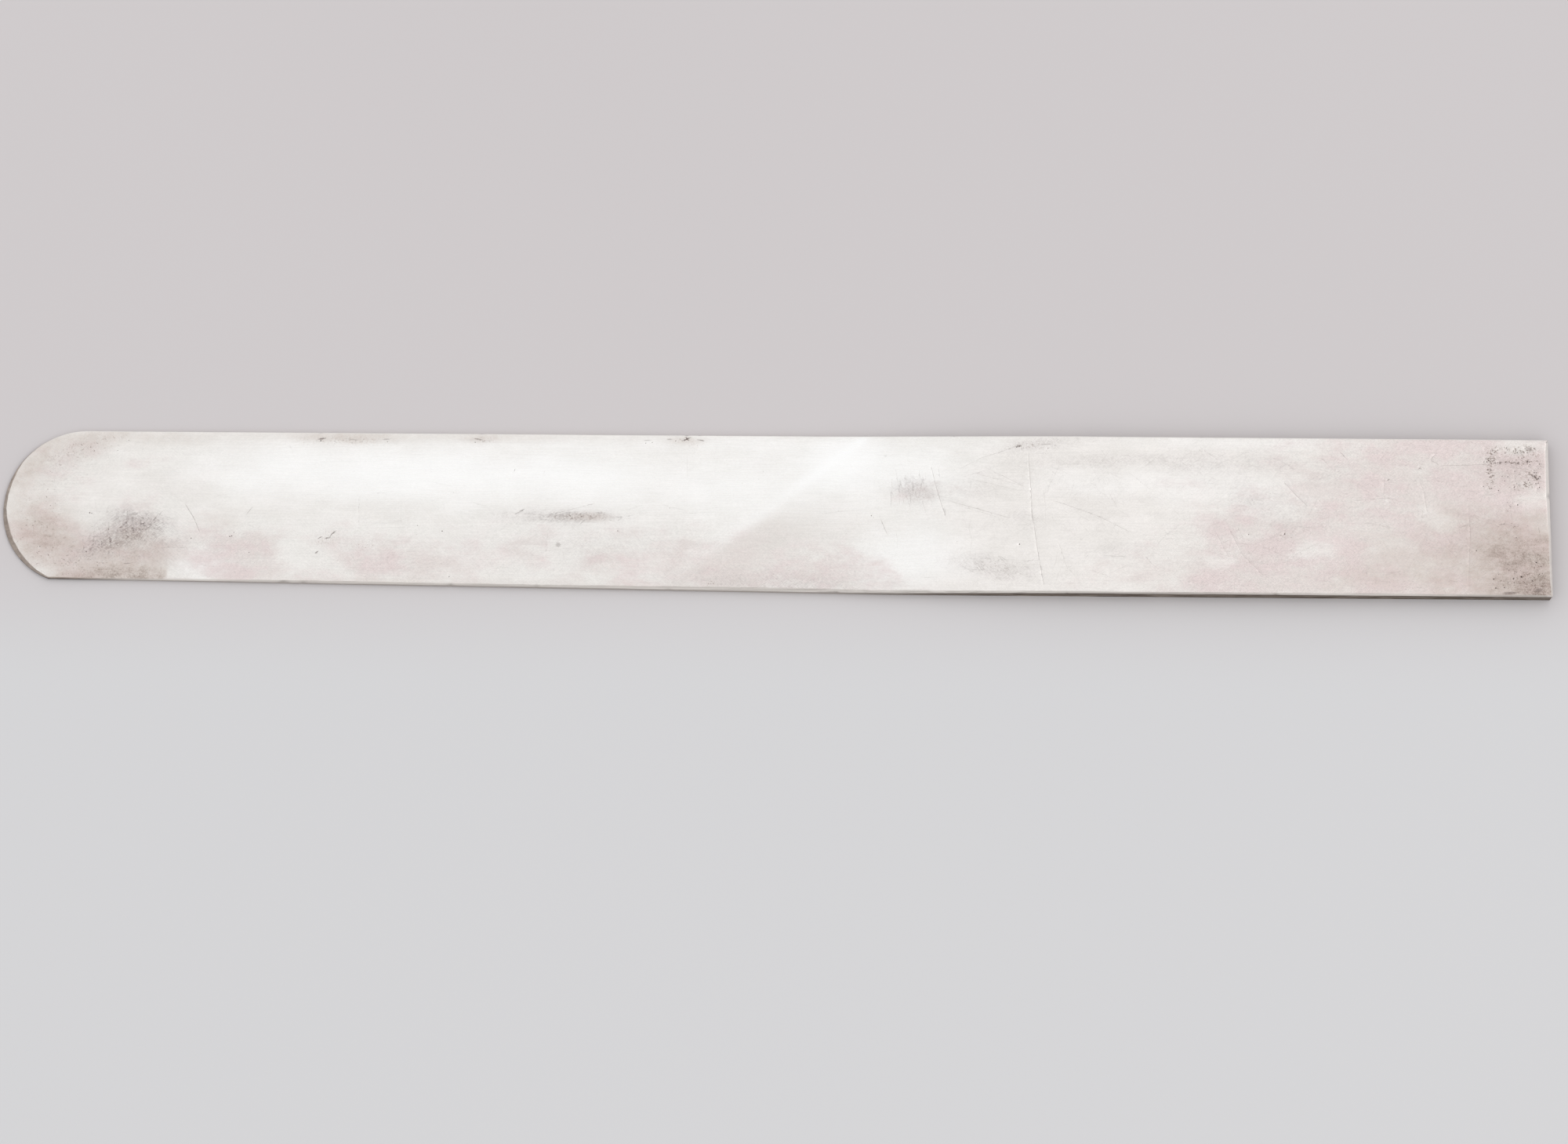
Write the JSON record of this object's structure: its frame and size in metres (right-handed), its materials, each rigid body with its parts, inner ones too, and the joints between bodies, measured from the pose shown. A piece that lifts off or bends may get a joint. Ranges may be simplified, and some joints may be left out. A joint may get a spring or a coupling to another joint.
{
  "type": "ink knife",
  "caption": "Flat steel ink knife: a stiff square-ended handle ground down to a thin, springy blade with a round nose, for mixing and spreading printing ink.",
  "frame": {"origin": "middle of the back face, on which the knife lies", "axes": "+X from the nose to the square end, +Y to the straight upper edge, +Z out of the ground front face"},
  "size_m": [0.3048, 0.0318, 0.0032],
  "materials": {
    "blade": "bright steel with fine lengthwise grinding lines, random scratches, pitting at the handle's corner, and brown and grey ink tarnish"
  },
  "bodies": {
    "root": {"blade": "blade"}
  },
  "joints": []
}
